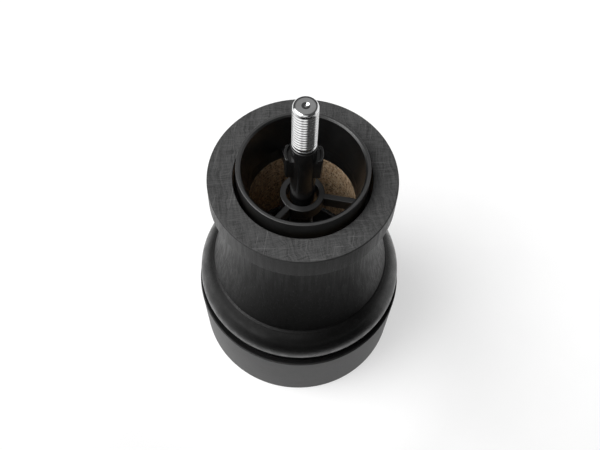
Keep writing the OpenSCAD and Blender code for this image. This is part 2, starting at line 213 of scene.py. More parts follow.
def stainedWood():
    material, start, place = newFinish("stainedWood")
    x, y, z = place.parts()
    grain = start.vector(x, y, z * 0.045)
    streak = start.noise(grain, 0.9, 5, 0.62)
    fine = start.noise(grain, 4.2, 3, 0.6)
    pore = start.noise(start.vector(x, y, z * 0.09), 3.1, 1).fade(0.60, 0.70)
    awayX = x - stain["pith"][0]
    awayY = y - stain["pith"][1]
    distance = (awayX * awayX + awayY * awayY) ** 0.5
    wander = start.noise(grain, 0.16, 2)
    angle = start.join("ARCTAN2", awayY, awayX) * 150.0
    ring = start.noise(start.vector(distance + wander * 4.0, angle * 0.045, z * 0.05), 2.1, 3, 0.6)
    ray = start.noise(start.vector(distance * 0.06, angle + wander * 2.0, z * 0.1), 2.9, 3, 0.6)
    scratch = start.noise(start.vector(x * 0.05 + y * 0.02, y * 1.1 - x * 0.09, z * 0.2), 1.3, 2, 0.4)
    scratch = scratch.fade(0.64, 0.72)
    hair = start.noise(start.vector(y * 0.04, x - y * 0.14, z * 0.2), 1.7, 1, 0.4).fade(0.64, 0.74)
    top = z.fade(stain["rimTop"] - 0.06, stain["rimTop"] - 0.01)
    bead = 1.0 - z.fade(*stain["beadTop"])
    wearAndTopLight = start.noise(place, 0.2, 3).fade(0.40, 0.70)
    side = (streak * 0.6 + fine * 0.4).fade(0.36, 0.66).blend(
        grey(stain["sideDark"], 0.02), grey(stain["sideLight"], 0.03))
    endPattern = ring * 0.38 + ray * 0.36 + fine * 0.26
    end = endPattern.fade(0.36, 0.64).blend(grey(stain["endDark"]), grey(stain["endLight"]))
    end = (wearAndTopLight * 0.25).blend(end, grey(stain["endLight"]))
    end = (scratch * 0.42 + hair * 0.30).blend(end, grey(stain["scratched"]))
    end = (pore * 0.5).blend(end, grey(stain["endPore"]))
    rimLightMask = z.fade(*stain["rimFoot"]) * (0.45 + streak * 0.3)      # painted light: the rim's side is painted paler, standing in for the light it catches
    side = rimLightMask.blend(side, grey(stain["rimSidePaintedLight"]))
    side = (pore * 0.4).blend(side, grey(stain["sidePore"]))
    colour = top.blend(side, end)
    blotch = start.noise(start.vector(x, y, z * 0.8), 0.27, 4, 0.6).fade(0.36, 0.64)
    strand = streak.fade(0.36, 0.64)
    sheen = bead * (blotch * 0.12 - 0.03) + (1.0 - bead) * strand * 0.12
    rough = 0.33 + sheen + fine * 0.06 + top * 0.28
    height = streak * 0.5 + fine * 0.35 - pore * 0.8 + top * (ring + ray) * 0.35
    polish = (1.0 - z.fade(*stain["polishTop"])) * (1.0 - blotch * 0.35) * 0.5      # rubbed by hands
    finishSurface(start, colour, rough, height, 0.045, {
        "Specular IOR Level": 0.17, "Coat Weight": polish, "Coat Roughness": 0.22})
    return material


bare = {
    "dark": (0.20, 0.118, 0.060, 1), "light": (0.46, 0.31, 0.18, 1), "dust": (0.56, 0.44, 0.30, 1),
    "speck": (0.075, 0.048, 0.028, 1), "crumb": (0.62, 0.50, 0.34, 1),
}


def rawWood():
    material, start, place = newFinish("rawWood")
    x, y, z = place.parts()
    streak = start.noise(start.vector(x, y, z * 0.07), 0.8, 5, 0.65)
    fine = start.noise(start.vector(x, y, z * 0.2), 3.0, 3, 0.6)
    dust = start.noise(place, 1.3, 4, 0.7)
    speck = start.noise(place, 1.15, 3, 0.6).fade(0.53, 0.60)
    crumb = start.noise(start.vector(x + 40.0, y, z), 0.95, 3, 0.6).fade(0.54, 0.62)
    colour = (streak * 0.6 + fine * 0.4).fade(0.35, 0.68).blend(bare["dark"], bare["light"])
    colour = (dust.fade(0.4, 0.66) * 0.6).blend(colour, bare["dust"])
    colour = (speck * 0.8).blend(colour, bare["speck"])
    colour = (crumb * 0.55).blend(colour, bare["crumb"])
    height = streak * 0.4 + dust * 0.4 + speck * 0.35
    finishSurface(start, colour, 0.78 + fine * 0.15, height, 0.12, {"Specular IOR Level": 0.3})
    return material


def mouldedPlastic(name, dark, light, rough, specular=0.5, dusty=0.0, lift=0.02, paintedLitTops=()):
    material, start, place = newFinish(name)
    x, y, z = place.parts()
    cloud = start.noise(place, 0.16, 3)
    fine = start.noise(place, 2.6, 4, 0.6)
    scuff = start.noise(start.vector(x * 0.25, y * 1.4, z * 0.8), 1.1, 3, 0.5).fade(0.60, 0.74)
    colour = (cloud * 0.6 + fine * 0.4).fade(0.38, 0.64).blend(dark, light)
    speck = start.noise(place, 3.4, 2).fade(0.66, 0.74)
    colour = (speck * dusty).blend(colour, (0.20, 0.15, 0.10, 1))
    for top, pale in paintedLitTops:                         # flat upper faces are painted paler: a painted highlight for the light falling on them
        wearAndTopLight = z.fade(top - 0.12, top - 0.02) * (1.0 - z.fade(top + 0.05, top + 0.1))
        colour = (wearAndTopLight * (0.6 + fine * 0.8)).blend(colour, grey(pale))
    height = fine * 0.7 + scuff * 0.25
    finishSurface(start, colour, rough + (fine - 0.5) * 0.12 + scuff * 0.06, height, lift,
                  {"Specular IOR Level": specular})
    return material


def workedMetal(name, base, tint, rough, turned=0.0, ground=0.0, stainLevel=0.25, lift=0.012):
    material, start, place = newFinish(name)
    x, y, z = place.parts()
    cloud = start.noise(place, 0.35, 4, 0.6)
    lines = start.noise(start.vector(x * 0.03, y * 0.03, z), 9.0, 3, 0.6)
    brushed = start.noise(start.vector(x * 0.12, y * 2.2, z * 2.2), 3.0, 3, 0.6)
    spot = start.noise(place, 1.6, 3).fade(0.60, 0.72)
    colour = (cloud.fade(0.35, 0.7) * stainLevel).blend(base, tint)
    colour = (spot * stainLevel * 0.6).blend(colour, tint)
    height = lines * turned + brushed * ground + cloud * 0.1
    roughness = rough + (cloud - 0.5) * 0.12
    roughness = roughness + (lines - 0.5) * 0.08 * turned + (brushed - 0.5) * 0.16 * ground
    finishSurface(start, colour, roughness, height, lift, None, 1.0)
    return material


def fibreBoard():
    material, start, place = newFinish("fibreWasher")
    x, y, z = place.parts()
    hair = start.noise(start.vector(x * 0.5, y * 2.0, z), 1.8, 4, 0.6)
    mat = start.noise(place, 4.0, 3)
    colour = (hair * 0.6 + mat * 0.4).fade(0.35, 0.65)
    colour = colour.blend((0.10, 0.065, 0.04, 1), (0.21, 0.15, 0.10, 1))
    finishSurface(start, colour, 0.85 + mat * 0.1, hair + mat * 0.4, 0.05)
    return material


def buildFinishes():
    steel = (0.76, 0.765, 0.77, 1)
    return {
        "stain": stainedWood(),
        "raw": rawWood(),
        # painted top light on the liner's rim and hub faces
        "liner": mouldedPlastic("linerPlastic", grey(0.0045), grey(0.0085), 0.30, 0.45, 0.10,
                                paintedLitTops=((106.0, 0.036), (90.0, 0.020))),
        "sleeve": mouldedPlastic("sleevePlastic", grey(0.005), grey(0.010), 0.20, 0.55, 0.22),
        "housing": mouldedPlastic("housingPlastic", grey(0.008), grey(0.015), 0.42, 0.45, 0.30),
        "ring": mouldedPlastic("ringPlastic", grey(0.020), grey(0.026), 0.42, 0.17, 0.0, 0.012),
        "pale": mouldedPlastic("palePlastic", (0.62, 0.58, 0.49, 1), (0.72, 0.69, 0.60, 1),
                               0.40, 0.4, 0.25),
        "bright": workedMetal("brightSteel", steel, (0.50, 0.47, 0.44, 1), 0.13, 0.5, 0.0, 0.22, 0.006),
        "plate": workedMetal("plateSteel", (0.60, 0.61, 0.62, 1), (0.42, 0.41, 0.39, 1),
                             0.30, 0.0, 0.8),
        "spring": workedMetal("springSteel", (0.42, 0.42, 0.43, 1), (0.25, 0.22, 0.19, 1),
                              0.28, 0.0, 0.4),
        "burr": workedMetal("burrSteel", (0.36, 0.37, 0.38, 1), (0.20, 0.18, 0.16, 1),
                            0.38, 0.3, 0.6, 0.45),
        "brass": workedMetal("turnedBrass", (0.72, 0.52, 0.22, 1), (0.40, 0.27, 0.12, 1),
                             0.27, 0.6, 0.0, 0.35),
        "fibre": fibreBoard(),
    }


studio = {
    "room": 0.06,                                  # what the dark parts of the room give
    "lamps": [                                     # direction, brightness, inner and outer angle
        ((-0.56, -0.06, 0.83), 7.6, 10, 30),
        ((-0.10, -0.70, 0.70), 1.2, 8, 26),
        ((0.00, 0.53, 0.85), 0.24, 8, 26),
        ((-0.90, -0.38, 0.22), 1.15, 30, 48),
        ((0.93, 0.34, 0.14), 0.9, 24, 38),
    ],
    "background": 1.25, "tableHalf": 4.0, "tableGlow": 0.54, "tableShades": (0.42, 0.45),
    # where the card of painted shade begins, in millimetres from the axis, and the angles of its two sides
    "cardReach": (52.0, 86.0), "cardLeft": (-100.0, -16.0), "cardRight": (54.0, 96.0),
    "cardHalf": 1.2, "cardNear": -0.001, "cardHeight": 0.001, "cardShade": 0.01,
}


def flatSheet(name, half, near, lift):
    # a level sheet, its far and near edges along X
    mesh = bpy.data.meshes.new(name)
    corners = [(-half, -half, lift), (half, -half, lift), (half, near, lift), (-half, near, lift)]
    mesh.from_pydata(corners, [], [(0, 1, 2, 3)])
    return linkMesh(name, mesh)


def buildFloor():
    floor = flatSheet("tableTop", studio["tableHalf"], studio["tableHalf"], 0)
    material, start, place = newFinish("tablePaint")
    speck = start.noise(place, 0.05, 2)
    dark, light = studio["tableShades"]
    finishSurface(start, speck.blend(grey(dark), grey(light)), 0.65, None, 0, {
        "Specular IOR Level": 0.2, "Emission Color": (1, 1, 1, 1),
        "Emission Strength": studio["tableGlow"]})
    floor.data.materials.append(material)


def buildPaintedShadeCard():
    # painted shade: a black card in front of the mill, hidden from the camera and from shadows, seen only in
    # reflections and bounced light, standing in for the dark front of the room
    card = flatSheet("paintedShadeCard", studio["cardHalf"], studio["cardNear"], studio["cardHeight"])
    material, start, place = newFinish("paintedShadeCard")
    x, y, z = place.parts()
    angle = start.join("ARCTAN2", x, 0.0 - y) * (180.0 / math.pi)
    cover = ((x * x + y * y) ** 0.5).fade(*studio["cardReach"])
    cover = cover * angle.fade(*studio["cardLeft"]) * (1.0 - angle.fade(*studio["cardRight"]))
    black = start.node("ShaderNodeBsdfDiffuse", None, {0: grey(studio["cardShade"])})
    clear = start.node("ShaderNodeBsdfTransparent")
    mixed = start.node("ShaderNodeMixShader", None, {0: cover, 1: clear, 2: black})
    start.node("ShaderNodeOutputMaterial", None, {0: mixed})
    card.data.materials.append(material)
    card.visible_camera = False
    card.visible_shadow = False


def buildStudio():
    world = bpy.data.worlds.new("studio")
    bpy.context.scene.world = world
    world.use_nodes = True
    world.node_tree.nodes.clear()
    start = Wire(world.node_tree)
    toward = start.node("ShaderNodeTexCoord", out=0)
    light = start.node("ShaderNodeValue")
    light.socket.default_value = studio["room"]
    for direction, strength, inner, outer in studio["lamps"]:
        aim = Vector(direction).normalized()
        facing = start.node("ShaderNodeVectorMath", {"operation": "DOT_PRODUCT"}, {0: toward, 1: aim}, 1)
        edge, core = math.cos(math.radians(outer)), math.cos(math.radians(inner))
        light = light + facing.fade(edge, core, 0.0, strength)
    lit = start.node("ShaderNodeBackground", None, {"Color": (1, 1, 1, 1), "Strength": light})
    plain = start.node("ShaderNodeBackground", None, {
        "Color": (1, 1, 1, 1), "Strength": studio["background"]})
    seen = start.node("ShaderNodeLightPath")
    both = start.node("ShaderNodeMixShader", None, {0: seen, 1: lit, 2: plain})
    start.node("ShaderNodeOutputWorld", None, {0: both})
    scene = bpy.context.scene
    scene.view_settings.view_transform = "Standard"
    scene.view_settings.look = "None"
    scene.view_settings.exposure = 0.0


# shaping helpers

def linkMesh(name, mesh):
    piece = bpy.data.objects.new(name, mesh)
    bpy.context.scene.collection.objects.link(piece)
    return piece


def fromShape(name, shape, sharp=34):
    mesh = bpy.data.meshes.new(name)
    shape.to_mesh(mesh)
    shape.free()
    smoothMesh(mesh, sharp)
    return linkMesh(name, mesh)


def smoothMesh(mesh, sharp=34):
    mesh.polygons.foreach_set("use_smooth", [True] * len(mesh.polygons))
    mesh.set_sharp_from_angle(angle=math.radians(sharp))
    mesh.update()


def rounded(corners, steps=4, guard=0.06):
    # corners are (r, z) or (r, z, radius); returns the outline with its corners rounded
    outline = []
    count = len(corners)
    for index, corner in enumerate(corners):
        here = Vector(corner[:2])
        radius = corner[2] if len(corner) > 2 else 0
        if not radius:
            outline.append(tuple(here))
            continue
        before = Vector(corners[index - 1][:2]) - here
        after = Vector(corners[(index + 1) % count][:2]) - here
        half = before.angle(after) / 2
        reach = min(radius / math.tan(half), before.length * 0.45, after.length * 0.45)
        trueRadius = reach * math.tan(half)
        first = here + before.normalized() * reach
        last = here + after.normalized() * reach
        inwards = (before.normalized() + after.normalized()).normalized()
        middle = here + inwards * (trueRadius / math.sin(half))
        if before.length > reach * 2.4 + guard:
            outline.append(tuple(first + before.normalized() * guard))
        startAngle = math.atan2(*(first - middle).yx)
        sweep = math.atan2(*(last - middle).yx) - startAngle
        sweep = (sweep + math.pi) % (2 * math.pi) - math.pi
        for step in range(steps + 1):
            angle = startAngle + sweep * step / steps
            outline.append((middle.x + trueRadius * math.cos(angle),
                            middle.y + trueRadius * math.sin(angle)))
        if after.length > reach * 2.4 + guard:
            outline.append(tuple(last + after.normalized() * guard))
    return outline


def arc(centre, radius, start, end, steps):
    angles = [math.radians(start + (end - start) * step / steps) for step in range(steps + 1)]
    return [(centre[0] + radius * math.cos(angle), centre[1] + radius * math.sin(angle)) for angle in angles]


def turned(name, outline, segments=192, sharp=34):
    # spins a closed outline of (r, z) about the Z axis
    shape = bmesh.new()
    rings = []
    for radius, height in outline:
        if radius < 1e-5:
            rings.append([shape.verts.new((0, 0, height * mm))])
            continue
        rings.append([shape.verts.new((radius * mm * math.cos(2 * math.pi * step / segments),
                                       radius * mm * math.sin(2 * math.pi * step / segments),
                                       height * mm)) for step in range(segments)])
    for index, lower in enumerate(rings):
        upper = rings[(index + 1) % len(rings)]
        if len(lower) == 1 and len(upper) == 1:
            continue
        for step in range(segments):
            following = (step + 1) % segments
            if len(lower) == 1:
                corners = (lower[0], upper[following], upper[step])
            elif len(upper) == 1:
                corners = (lower[step], lower[following], upper[0])
            else:
                corners = (lower[step], lower[following], upper[following], upper[step])
            shape.faces.new(corners)
    bmesh.ops.recalc_face_normals(shape, faces=shape.faces)
    return fromShape(name, shape, sharp)


def prism(name, outline, low, high, sharp=34):
    # pushes a closed flat outline of (x, y) up from one height to another
    shape = bmesh.new()
    lower = [shape.verts.new((x * mm, y * mm, low * mm)) for x, y in outline]
    upper = [shape.verts.new((x * mm, y * mm, high * mm)) for x, y in outline]
    shape.faces.new(lower[::-1])
    shape.faces.new(upper)
    for index in range(len(outline)):
        following = (index + 1) % len(outline)
        shape.faces.new((lower[index], lower[following], upper[following], upper[index]))
    bmesh.ops.recalc_face_normals(shape, faces=shape.faces)
    return fromShape(name, shape, sharp)


def block(name, low, high):
    outline = [(low[0], low[1]), (high[0], low[1]), (high[0], high[1]), (low[0], high[1])]
    return prism(name, outline, low[2], high[2])


def settle(piece, sharp=34):
    # turns a piece with modifiers into a plain mesh
    bpy.context.view_layer.update()
    evaluated = piece.evaluated_get(bpy.context.evaluated_depsgraph_get())
    result = bpy.data.meshes.new_from_object(evaluated)
    piece.modifiers.clear()
    old = piece.data
    piece.data = result
    bpy.data.meshes.remove(old)
    if sharp:
        smoothMesh(result, sharp)
    return piece


def combine(base, others, operation="UNION"):
    for other in others:
        modifier = base.modifiers.new("combine", "BOOLEAN")
        modifier.operation = operation
        modifier.solver = "EXACT"
        modifier.object = other
        settle(base)
    for other in others:
        bpy.data.objects.remove(other)
    return base


def softEdges(piece, width, angle=40, steps=2):
    modifier = piece.modifiers.new("softEdges", "BEVEL")
    modifier.width = width * mm
    modifier.segments = steps
    modifier.limit_method = "ANGLE"
    modifier.angle_limit = math.radians(angle)
    modifier.use_clamp_overlap = True
    modifier.miter_outer = "MITER_ARC"
    return settle(piece, 50)


def copyOfNode(name, node, width=0.0):
    # a welded, eased copy of a CAD solid
    shape = bmesh.new()
    shape.from_mesh(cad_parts[node].data)
    bmesh.ops.remove_doubles(shape, verts=shape.verts, dist=0.002 * mm)
    bmesh.ops.dissolve_limit(shape, angle_limit=math.radians(0.4), verts=shape.verts, edges=shape.edges,
                             delimit={"NORMAL"})
    piece = fromShape(name, shape, 30)
    if width:
        softEdges(piece, width, 35)
    return piece


def handOver(piece, body, slot, nodes, *finishes):
    piece.data.materials.clear()
    for finish in finishes:
        piece.data.materials.append(finish)
    modifier = piece.modifiers.new("evenNormals", "WEIGHTED_NORMAL")
    modifier.mode = "FACE_AREA"
    modifier.keep_sharp = True
    settle(piece, 0)
    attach(piece, body)
    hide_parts(*nodes)
    return piece


# geometry node trees

def newTree(name, inputs):
    tree = bpy.data.node_groups.new(name, "GeometryNodeTree")
    tree.interface.new_socket("Geometry", in_out="INPUT", socket_type="NodeSocketGeometry")
    for label, kind, value in inputs:
        socket = tree.interface.new_socket(label, in_out="INPUT", socket_type="NodeSocket" + kind)
        if value is not None:
            socket.default_value = value
    tree.interface.new_socket("Geometry", in_out="OUTPUT", socket_type="NodeSocketGeometry")
    entry = tree.nodes.new("NodeGroupInput")
    wires = {output.name: Wire(tree, output) for output in entry.outputs if output.name}
    return tree, Wire(tree), wires


def closeTree(start, geometry, finish):
    realised = start.node("GeometryNodeRealizeInstances", None, {0: geometry})
    dressed = start.node("GeometryNodeSetMaterial", None, {"Geometry": realised, "Material": finish})
    start.node("NodeGroupOutput", None, {0: dressed})


def applyTree(piece, tree, values, sharp=34):
    modifier = piece.modifiers.new(tree.name, "NODES")
    modifier.node_group = tree
    for item in tree.interface.items_tree:
        if item.item_type == "SOCKET" and item.in_out == "INPUT" and item.name in values:
            modifier[item.identifier] = values[item.name]
    return settle(piece, sharp)


def reliefTree():
    # cuts teeth, a thread or notches into a turned skin, along a helix
    tree, start, given = newTree("cutRelief", [
        ("Count", "Float", 20.0), ("Twist", "Float", 0.0), ("Depth", "Float", 1.0), ("Lean", "Float", 0.5),
        ("Flat", "Float", 0.0), ("Low", "Float", 0.0), ("High", "Float", 1.0), ("Run Out", "Float", 0.5),
        ("Inner", "Float", 0.0), ("Outer", "Float", 100.0), ("Outwards", "Float", 0.0),
        ("Finish", "Material", None)])
    position = start.node("GeometryNodeInputPosition")
    scaled = start.node("ShaderNodeVectorMath", {"operation": "SCALE"}, {0: position, "Scale": 1000.0})
    x, y, z = scaled.parts()
    radius = (x * x + y * y) ** 0.5
    angle = start.join("ARCTAN2", y, x) / (2 * math.pi)
    phase = (angle * given["Count"] + z * given["Twist"] + 100.0).fraction()
    rise = phase / given["Lean"]
    fall = (1.0 - phase) / (1.0 - given["Lean"])
    tooth = rise.smaller(fall)                     # 0 on the skin, 1 at the bottom of the cut
    tooth = ((tooth - given["Flat"]) / (1.0 - given["Flat"])).larger(0.0)
    mask = z.fade(given["Low"], given["Low"] + given["Run Out"])
    mask = mask * (1.0 - z.fade(given["High"] - given["Run Out"], given["High"]))
    inside = start.join("GREATER_THAN", radius, given["Inner"])
    inside = inside * start.join("LESS_THAN", radius, given["Outer"])
    cut = given["Depth"] * tooth * mask * inside * mm
    side = 1.0 - given["Outwards"] * 2.0
    along = start.node("ShaderNodeVectorMath", {"operation": "NORMALIZE"}, {0: start.vector(x, y, 0.0)})
    offset = start.node("ShaderNodeVectorMath", {"operation": "SCALE"}, {
        0: along, "Scale": cut * side * -1.0})
    moved = start.node("GeometryNodeSetPosition", None, {"Geometry": given["Geometry"], "Offset": offset})
    closeTree(start, moved, given["Finish"])
    return tree


def roundTree():
    # repeats a part around the Z axis
    tree, start, given = newTree("setRound", [
        ("Count", "Int", 3), ("Radius", "Float", 0.0), ("First", "Float", 0.0), ("Finish", "Material", None)])
    points = start.node("GeometryNodePoints", None, {"Count": given["Count"]})
    index = start.node("GeometryNodeInputIndex")
    angle = given["First"] + index * (2 * math.pi) / given["Count"]
    where = start.vector(start.join("COSINE", angle) * given["Radius"], angle.sine() * given["Radius"], 0.0)
    points = start.node("GeometryNodeSetPosition", None, {"Geometry": points, "Position": where})
    turn = start.vector(0.0, 0.0, angle)
    copies = start.node("GeometryNodeInstanceOnPoints", None,
                        {"Points": points, "Instance": given["Geometry"], "Rotation": turn})
    closeTree(start, copies, given["Finish"])
    return tree


def coilTree():
    # winds round wire into a coil with closed ends
    tree, start, given = newTree("woundWire", [
        ("Mean Radius", "Float", 0.005), ("Wire Radius", "Float", 0.0005), ("Low", "Float", 0.0),
        ("High", "Float", 0.01), ("Turns", "Float", 4.0), ("Steps", "Int", 40), ("Finish", "Material", None)])
    count = given["Steps"] * given["Turns"] + 1.0
    line = start.node("GeometryNodeMeshLine", None, {"Count": count})
    index = start.node("GeometryNodeInputIndex")
    share = index / (count - 1.0)
    angle = share * given["Turns"] * (2 * math.pi)
    ends = 0.75 / given["Turns"]                   # share of the wire in each closed end
    lift = (share - ends) / (1.0 - ends * 2.0)
    lift = lift.larger(0.0).smaller(1.0)
    reach = given["High"] - given["Low"] - given["Wire Radius"] * 4.2
    small = share / ends
    base = small.smaller(1.0) * given["Wire Radius"] * 1.05
    last = ((share - 1.0 + ends) / ends).larger(0.0) * given["Wire Radius"] * 1.05
    height = given["Low"] + given["Wire Radius"] + base + lift * reach + last
    radius = given["Mean Radius"]
    where = start.vector(start.join("COSINE", angle) * radius, angle.sine() * radius, height)
    line = start.node("GeometryNodeSetPosition", None, {"Geometry": line, "Position": where})
    path = start.node("GeometryNodeMeshToCurve", None, {"Mesh": line})
    profile = start.node("GeometryNodeCurvePrimitiveCircle", None, {
        "Resolution": 14, "Radius": given["Wire Radius"]})
    wire = start.node("GeometryNodeCurveToMesh", None, {
        "Curve": path, "Profile Curve": profile, "Fill Caps": True})
    closeTree(start, wire, given["Finish"])
    return tree


# the wooden body

wood = {
    "beadRadius": 38.0, "beadLift": 5.2, "beadLowRadius": 5.5, "beadRise": 9.8,
    "creaseRadius": 32.85, "creaseWidth": 1.4, "creaseDepth": 1.2,
    "waistRadius": 27.2, "waistDrop": 20.0, "cove": 2.0,
    "rimRadius": 31.5, "rimHeight": 9.6, "ease": 0.35,
    "mouthRadius": 23.0, "mouthDepth": 15.4, "chamberRadius": 18.4,
    "neckRadius": 24.3, "neckHeight": 21.85,
    "screwRadius": 1.55, "screwPlace": 30.0, "screwDepth": 12.5, "screwTurn": 60,
}


def buildWoodBody(finishes):
    low, high = span("wood_body")
    foot, top = low[2], high[2]
    beadZ = foot + wood["beadLift"]
    footAngle = -math.degrees(math.asin(wood["beadLift"] / wood["beadLowRadius"]))
    inwards = wood["beadRadius"] - wood["creaseRadius"]
    upperRadius = (wood["beadRise"] ** 2 + inwards ** 2) / (2 * inwards)
    upperAngle = math.degrees(math.asin(wood["beadRise"] / upperRadius))
    waistFoot = beadZ + wood["beadRise"] + wood["creaseWidth"]
    waistMid = top - wood["waistDrop"]
    rimFoot = top - wood["rimHeight"]
    waistIn = wood["creaseRadius"] - 0.6 - wood["waistRadius"]
    waistArc = ((waistMid - waistFoot) ** 2 + waistIn ** 2) / (2 * waistIn)

    def waistAt(height):
        return wood["waistRadius"] + waistArc - math.sqrt(waistArc ** 2 - (height - waistMid) ** 2)

    lowerRadius = wood["beadLowRadius"]
    outside = arc((wood["beadRadius"] - lowerRadius, beadZ), lowerRadius, footAngle, 0, 14)
    outside += arc((wood["beadRadius"] - upperRadius, beadZ), upperRadius,
                   upperAngle / 26, upperAngle - 1.2, 24)
    creaseR = wood["creaseRadius"]
    creaseZ = waistFoot - wood["creaseWidth"] / 2
    first = waistFoot + 1.2                        # where the waist's own curve begins
    crease = rounded([(creaseR + 0.35, creaseZ - 1.15), (creaseR + 0.02, creaseZ - 0.66, 0.22),
                      (creaseR - wood["creaseDepth"], creaseZ - 0.06, 0.16),
                      (creaseR - 0.58, waistFoot, 0.2), (waistAt(first), first)], 4, 0.03)
    outside += crease[1:-1]
    coveFoot = rimFoot - wood["cove"]
    heights = [first + (coveFoot - waistFoot - 1.2) * step / 40 for step in range(41)]
    outside += [(waistAt(height), height) for height in heights]
    edgeR = wood["rimRadius"]
    startR = waistAt(coveFoot)
    rise = edgeR - 0.55 - startR
    quarter = [math.pi / 2 * step / 10 for step in range(2, 10)]
    outside += [(startR + rise * math.sin(angle) ** 1.15,
                 coveFoot + wood["cove"] * (1 - math.cos(angle)) * 0.98) for angle in quarter]
    ease = wood["ease"]
    rim = rounded([(startR + rise, rimFoot), (edgeR, rimFoot + 0.1, 0.3), (edgeR, top, ease * 1.3),
                   (wood["mouthRadius"], top, 0.3), (wood["mouthRadius"], top - wood["mouthDepth"], 0.15),
                   (wood["chamberRadius"], top - wood["mouthDepth"], 0.25),
                   (wood["chamberRadius"], foot + wood["neckHeight"], 0.2),
                   (wood["neckRadius"], foot + wood["neckHeight"], 0.15), (wood["neckRadius"], foot, 0.2),
                   (outside[0][0] - 1.5, foot)], 5)
    piece = turned("woodBody", outside + rim[1:], 256, 40)
    boreR, boreTop = wood["screwRadius"], foot + wood["screwDepth"]
    bore = turned("screwBore", [(0, foot - 1), (boreR, foot - 1), (boreR, boreTop - 0.9), (0, boreTop)], 24)
    applyTree(bore, trees["round"], {
        "Count": 3, "Radius": wood["screwPlace"] * mm, "First": math.radians(wood["screwTurn"])})
    combine(piece, [bore], "DIFFERENCE")
    handOver(piece, "root", "stained_wood", ["wood_body"], finishes["stain"], finishes["raw"])
    for face in piece.data.polygons:
        centre = face.center / mm
        reach = math.hypot(centre.x, centre.y)
        inBore = reach < wood["mouthRadius"] + 0.05 and centre.z < top - 0.6
        inNeck = reach < wood["neckRadius"] + 0.01 and centre.z < foot + wood["neckHeight"] + 0.1
        below = centre.z < foot + 0.01 or inNeck
        face.material_index = 1 if inBore or below else 0


# the neck liner

liner = {
    "outer": 21.9, "relief": 21.4, "inner": 20.15, "chamber": 18.4, "flange": 22.95, "flangeHeight": 1.95,
    "proud": 6.0, "slopeWidth": 0.75, "slopeDrop": 0.5,
    "hubOuter": 7.6, "hubInner": 5.4, "hubDrop": 10.0, "hubHeight": 5.0,
    "spokeWidth": 2.2, "spokes": 3, "spokeTurn": -8.0,
}


def buildNeckLiner(finishes):
    low, high = span("neck_liner")
    foot, top = low[2], high[2]
    rimTop = top - liner["proud"]
    hubTop = rimTop - liner["hubDrop"]
    hubFoot = hubTop - liner["hubHeight"]
    outline = rounded([
        (liner["chamber"], foot, 0.2), (liner["flange"], foot, 0.15),
        (liner["flange"], foot + liner["flangeHeight"], 0.2),
        (liner["relief"], foot + liner["flangeHeight"], 0.2), (liner["relief"], rimTop + 0.3, 0.1),
        (liner["outer"], rimTop + 0.4, 0.1), (liner["outer"], top, 0.3),
        (liner["inner"] + liner["slopeWidth"], top, 0.12),
        (liner["inner"] + 0.12, top - liner["slopeDrop"], 0.2),
        (liner["inner"] - 0.02, top - 1.4, 0.4),
        (liner["chamber"], hubTop + 1, 0.6)], 5)
    piece = turned("neckLiner", outline, 256, 40)
    hub = turned("hub", rounded([
        (liner["hubInner"], hubFoot, 0.25), (liner["hubOuter"], hubFoot, 0.25),
        (liner["hubOuter"], hubTop, 0.35), (liner["hubInner"], hubTop, 0.35)], 4), 128, 40)
    reach = liner["chamber"] + 0.9
    start = (liner["hubOuter"] + liner["hubInner"]) / 2
    half = liner["spokeWidth"] / 2
    spoke = block("spoke", (start, -half, hubFoot + 0.03), (reach, half, hubTop - 0.03))
    softEdges(spoke, 0.35, 30, 3)
    applyTree(spoke, trees["round"], {
        "Count": liner["spokes"], "First": math.radians(liner["spokeTurn"])}, 40)
    combine(hub, [spoke])
    combine(piece, [hub])
    handOver(piece, "root", "black_plastic", ["neck_liner"], finishes["liner"])


# shaft, sleeve and clip

shaft = {
    "threadRadius": 4.0, "threadHeight": 19.0, "pitch": 1.25, "threadDepth": 0.44, "tipEase": 1.1,
    "rowHeight": 0.06, "relief": 0.22, "collarHeight": 1.0, "bar": 5.0, "barFoot": 24.0,
    "journal": 2.48, "grooveRadius": 1.9, "dimpleRadius": 1.3, "dimpleDepth": 0.35,
}


